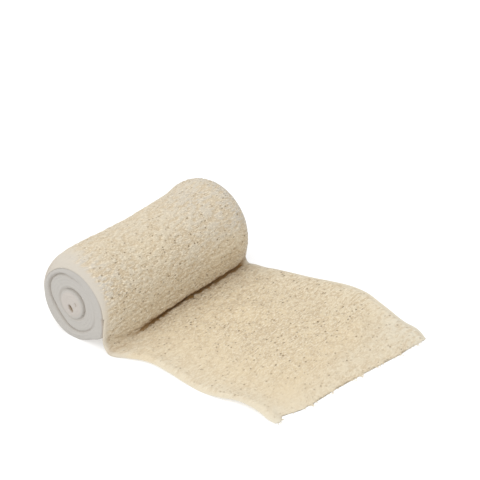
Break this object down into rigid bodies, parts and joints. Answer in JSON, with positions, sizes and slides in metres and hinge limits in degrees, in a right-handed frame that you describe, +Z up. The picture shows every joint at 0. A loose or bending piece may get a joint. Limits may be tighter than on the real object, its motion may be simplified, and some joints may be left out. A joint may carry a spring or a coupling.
{
  "type": "crepe bandage roll",
  "caption": "Wound roll of crinkled cotton crepe bandage on its side, its last turn let down and laid out flat as a loose end.",
  "frame": {"origin": "bottom centre of the whole thing's box, on the surface it rests on", "axes": "+X along the roll's axis from the near wound face to the far one, -Y from the roll out to the cut end of the loose end, +Z up"},
  "size_m": [0.087, 0.1112, 0.0341],
  "materials": {
    "crepe_cotton": "undyed crinkled cotton, matt"
  },
  "bodies": {
    "root": {"wound_roll": "crepe_cotton", "loose_end": "crepe_cotton"}
  },
  "joints": []
}
